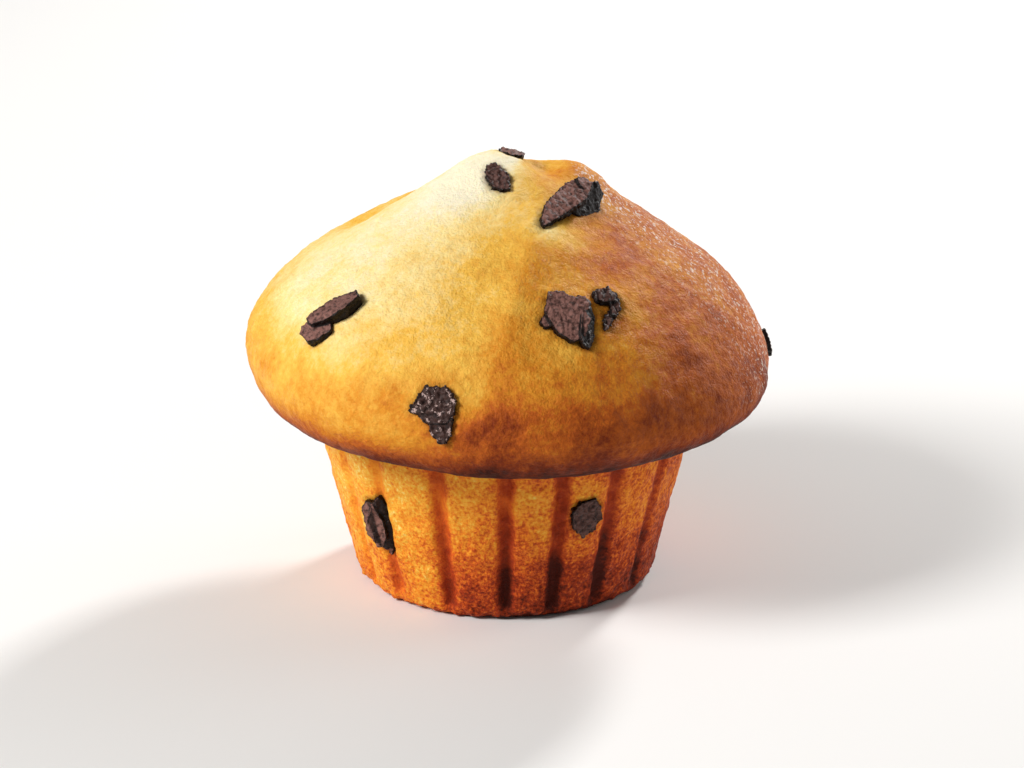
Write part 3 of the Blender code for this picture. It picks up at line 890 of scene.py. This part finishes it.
class Nodes:
    """Short calls to build a node tree."""

    def __init__(self, material):
        material.use_nodes = True
        self.tree = material.node_tree
        self.shader = self.tree.nodes["Principled BSDF"]

    def link(self, source, target):
        self.tree.links.new(source, target)

    def add(self, kind, **settings):
        node = self.tree.nodes.new(kind)
        for name, value in settings.items():
            setattr(node, name, value)
        return node

    def attribute(self, name):
        return self.add("ShaderNodeAttribute", attribute_name=name).outputs["Fac"]

    def place(self):
        return self.add("ShaderNodeTexCoord").outputs["Object"]

    def noise(self, place, size_mm, detail=2.0, roughness=0.5):
        """Noise from 0 to 1 with features of about this size."""
        node = self.add("ShaderNodeTexNoise")
        node.inputs["Scale"].default_value = 1.0 / (size_mm * MM)
        node.inputs["Detail"].default_value = detail
        node.inputs["Roughness"].default_value = roughness
        self.link(place, node.inputs["Vector"])
        return node.outputs["Fac"]

    def math(self, operation, first, second, clamp=False):
        node = self.add("ShaderNodeMath", operation=operation, use_clamp=clamp)
        for socket, value in zip(node.inputs, (first, second)):
            if isinstance(value, (int, float)):
                socket.default_value = value
            else:
                self.link(value, socket)
        return node.outputs[0]

    def swing(self, value, amount):
        """A noise value turned to run from about minus to plus this amount."""
        node = self.add("ShaderNodeMapRange", clamp=False)
        node.inputs["To Min"].default_value = -amount
        node.inputs["To Max"].default_value = amount
        self.link(value, node.inputs["Value"])
        return node.outputs["Result"]

    def between(self, value, low, high, to_low=0.0, to_high=1.0):
        """Map a range of values to another, softly and clamped."""
        node = self.add("ShaderNodeMapRange", interpolation_type="SMOOTHSTEP")
        ends = {"From Min": low, "From Max": high, "To Min": to_low, "To Max": to_high}
        for socket, number in ends.items():
            node.inputs[socket].default_value = number
        self.link(value, node.inputs["Value"])
        return node.outputs["Result"]

    def mix(self, share, first, second):
        node = self.add("ShaderNodeMix", data_type="RGBA")
        self.link(share, node.inputs["Factor"])
        for socket, colour in ((node.inputs[6], first), (node.inputs[7], second)):
            if isinstance(colour, tuple):
                socket.default_value = colour
            else:
                self.link(colour, socket)
        return node.outputs[2]

    def ramp(self, value, tones):
        node = self.add("ShaderNodeValToRGB")
        stops = node.color_ramp.elements
        while len(stops) < len(tones):
            stops.new(0.5)
        for stop, (at, tone) in zip(stops, tones):
            stop.position = at
            stop.color = linear(*tone)
        self.link(value, node.inputs["Fac"])
        return node.outputs["Color"]

    def bump(self, height, strength, distance_mm, before=None):
        node = self.add("ShaderNodeBump")
        node.inputs["Distance"].default_value = distance_mm * MM
        if isinstance(strength, float):
            node.inputs["Strength"].default_value = strength
        else:
            self.link(strength, node.inputs["Strength"])
        self.link(height, node.inputs["Height"])
        if before is not None:
            self.link(before, node.inputs["Normal"])
        return node.outputs["Normal"]

    def set(self, name, value):
        self.shader.inputs[name].default_value = value


def crust_material():
    """Baked crust: its tone follows the bake with its painted light and shade, with blotches, fine
    mottling and pale specks painted as glints.
    """
    material = bpy.data.materials.new("baked_crust")
    nodes = Nodes(material)
    place = nodes.place()
    grain = nodes.attribute("grain")
    painted_glint_band = nodes.attribute("painted_glint_band")
    blotch = nodes.swing(nodes.noise(place, BLOTCH_SIZE, 2.0), 0.12)
    mottle = nodes.swing(nodes.noise(place, MOTTLE_SIZE, 5.0, 0.75), 0.20)
    crumbs = nodes.swing(nodes.noise(place, CRUMB_SIZE, 2.0, 0.6), 0.36)
    crumbs = nodes.math("MULTIPLY", crumbs, grain)
    bake_and_painted_light = nodes.math("ADD", nodes.attribute("bake_and_painted_light"), nodes.math("ADD", blotch, mottle))
    bake_and_painted_light = nodes.math("ADD", bake_and_painted_light, crumbs, clamp=True)
    cap_colour = nodes.ramp(bake_and_painted_light, CAP_TONES)
    wall_colour = nodes.ramp(bake_and_painted_light, WALL_TONES)
    colour = nodes.mix(nodes.attribute("wall"), cap_colour, wall_colour)
    stain = nodes.math("MULTIPLY", nodes.attribute("stain"), 0.35)
    colour = nodes.mix(stain, colour, linear(*STAIN_TONE))
    # pale specks painted as glints on the cap's right side, with a glossy coat on the same specks
    painted_glints = nodes.between(nodes.noise(place, PAINTED_GLINT_SIZE, 2.0, 0.6), 0.57, 0.63)
    painted_glints = nodes.math("MULTIPLY", painted_glints, nodes.between(painted_glint_band, 0.3, 1.0, 0.0, 0.75))
    colour = nodes.mix(painted_glints, colour, linear(*PAINTED_GLINT_TONE))
    nodes.link(colour, nodes.shader.inputs["Base Color"])
    nodes.link(painted_glints, nodes.shader.inputs["Coat Weight"])
    gloss = nodes.between(nodes.noise(place, GLOSS_SIZE), 0.3, 0.7, 0.5, 0.7)
    nodes.link(gloss, nodes.shader.inputs["Roughness"])

    wrinkles = nodes.noise(place, WRINKLE_SIZE, 3.0, 0.6)
    wrinkles = nodes.bump(wrinkles, nodes.between(painted_glint_band, 0.0, 1.0, 0.8, 1.0), 0.32)
    pores = nodes.noise(place, PORE_SIZE, 3.0, 0.6)
    pores = nodes.bump(pores, nodes.between(grain, 0.0, 1.0, 0.9, 1.0), 0.24, wrinkles)
    nodes.link(pores, nodes.shader.inputs["Normal"])
    nodes.link(pores, nodes.shader.inputs["Coat Normal"])
    nodes.set("Coat Roughness", 0.15)
    nodes.set("Subsurface Weight", 0.1)
    nodes.set("Subsurface Radius", (1.0, 0.55, 0.25))
    nodes.set("Subsurface Scale", 1.5 * MM)
    nodes.set("Specular IOR Level", 0.12)
    return material


def chocolate_material():
    """Dark chocolate: its broken outer face lighter, partly bloom and partly painted light, its sides
    dark, partly its own colour and partly painted shade, and glossier.
    """
    material = bpy.data.materials.new("dark_chocolate")
    nodes = Nodes(material)
    place = nodes.place()
    rough = nodes.attribute("rough")
    pits = nodes.noise(place, PIT_SIZE, 4.0, 0.7)
    # faces turned out of the cake take the lighter tone and the sides the dark one: partly bloom, partly
    # painted light on the faces and painted shade on the sides
    slope = nodes.between(nodes.attribute("facing"), 0.90, 0.985)
    face = nodes.math("MULTIPLY", slope, nodes.between(pits, 0.38, 0.56, 0.25, 1.0))
    face = nodes.math("MULTIPLY", face, nodes.between(rough, 0.0, 1.0, 1.0, 0.2))
    colour = nodes.mix(face, linear(*CHOCOLATE_SHADED_SIDE), linear(*CHOCOLATE_BLOOMED_LIT_FACE))
    specks = nodes.between(nodes.noise(place, SPECK_SIZE, 3.0, 0.7), 0.57, 0.64)
    specks = nodes.math("MULTIPLY", specks, nodes.between(rough, 0.6, 1.0))
    colour = nodes.mix(nodes.math("MULTIPLY", specks, 0.85), colour, linear(*CHOCOLATE_SPECK))
    nodes.link(colour, nodes.shader.inputs["Base Color"])
    nodes.link(nodes.between(face, 0.0, 1.0, 0.36, 0.62), nodes.shader.inputs["Roughness"])
    nodes.link(nodes.bump(pits, 1.0, 0.3), nodes.shader.inputs["Normal"])
    nodes.set("Specular IOR Level", 0.22)
    return material


# ---------------------------------------------------------------------------
# Stage, light and camera
# ---------------------------------------------------------------------------

TARGET = Vector((1.05, 0.0, 32.7)) * MM
CAMERA_DISTANCE = 0.65
CAMERA_ELEVATION = 20.0
CAMERA_LENS = 135.0
FILL_LEVEL = 0.17
BACKDROP_LEVEL = 0.85
FLOOR_RADIUS = 4.0
LAMPS = (                   # name, bearing, elevation, distance, size and power
    ("key", -62.0, 36.0, 0.9, 0.30, 8.2),
    ("rim", 148.0, 30.0, 0.9, 0.12, 6.5),
    ("side", 112.0, 12.0, 0.9, 0.40, 2.3),
)


def make_floor():
    bpy.ops.mesh.primitive_circle_add(vertices=96, radius=FLOOR_RADIUS, fill_type="NGON")
    floor = bpy.context.object
    floor.name = "floor"
    material = bpy.data.materials.new("pale_floor")
    nodes = Nodes(material)
    nodes.set("Base Color", linear(*FLOOR_TONE))
    nodes.set("Roughness", 0.9)
    nodes.set("Specular IOR Level", 0.1)
    floor.data.materials.append(material)


def make_area_light(name, bearing, elevation, distance, size, power):
    """A square lamp that looks at the muffin from a bearing and an elevation."""
    light = bpy.data.lights.new(name, "AREA")
    light.shape = "SQUARE"
    light.size = size
    light.energy = power
    lamp = bpy.data.objects.new(name, light)
    flat = distance * math.cos(math.radians(elevation))
    rise = distance * math.sin(math.radians(elevation))
    lamp.location = TARGET + from_bearing(bearing, flat, rise)
    lamp.rotation_euler = (TARGET - lamp.location).to_track_quat("-Z", "Y").to_euler()
    bpy.context.scene.collection.objects.link(lamp)


def make_world():
    """Dim even light, which the camera sees as a pale backdrop."""
    world = bpy.data.worlds.new("studio")
    bpy.context.scene.world = world
    world.use_nodes = True
    tree = world.node_tree
    background = tree.nodes["Background"]
    background.inputs["Color"].default_value = (1.0, 1.0, 1.0, 1.0)
    path = tree.nodes.new("ShaderNodeLightPath")
    level = tree.nodes.new("ShaderNodeMapRange")
    level.inputs["To Min"].default_value = FILL_LEVEL
    level.inputs["To Max"].default_value = BACKDROP_LEVEL
    tree.links.new(path.outputs["Is Camera Ray"], level.inputs["Value"])
    tree.links.new(level.outputs["Result"], background.inputs["Strength"])


def make_camera():
    data = bpy.data.cameras.new("camera")
    data.lens = CAMERA_LENS
    data.sensor_width = 36.0
    camera = bpy.data.objects.new("camera", data)
    flat = CAMERA_DISTANCE * math.cos(math.radians(CAMERA_ELEVATION))
    rise = CAMERA_DISTANCE * math.sin(math.radians(CAMERA_ELEVATION))
    camera.location = TARGET + Vector((0.0, -flat, rise))
    camera.rotation_euler = (TARGET - camera.location).to_track_quat("-Z", "Y").to_euler()
    bpy.context.scene.collection.objects.link(camera)
    bpy.context.scene.camera = camera


make_camera()
crust = crust_material()
chocolate = chocolate_material()
make_cake(crust)
for number, chunk in enumerate(CHUNKS):
    make_chunk(number, chunk, chocolate)

make_floor()
for lamp in LAMPS:
    make_area_light(*lamp)
make_world()
bpy.context.scene.view_settings.view_transform = "Standard"
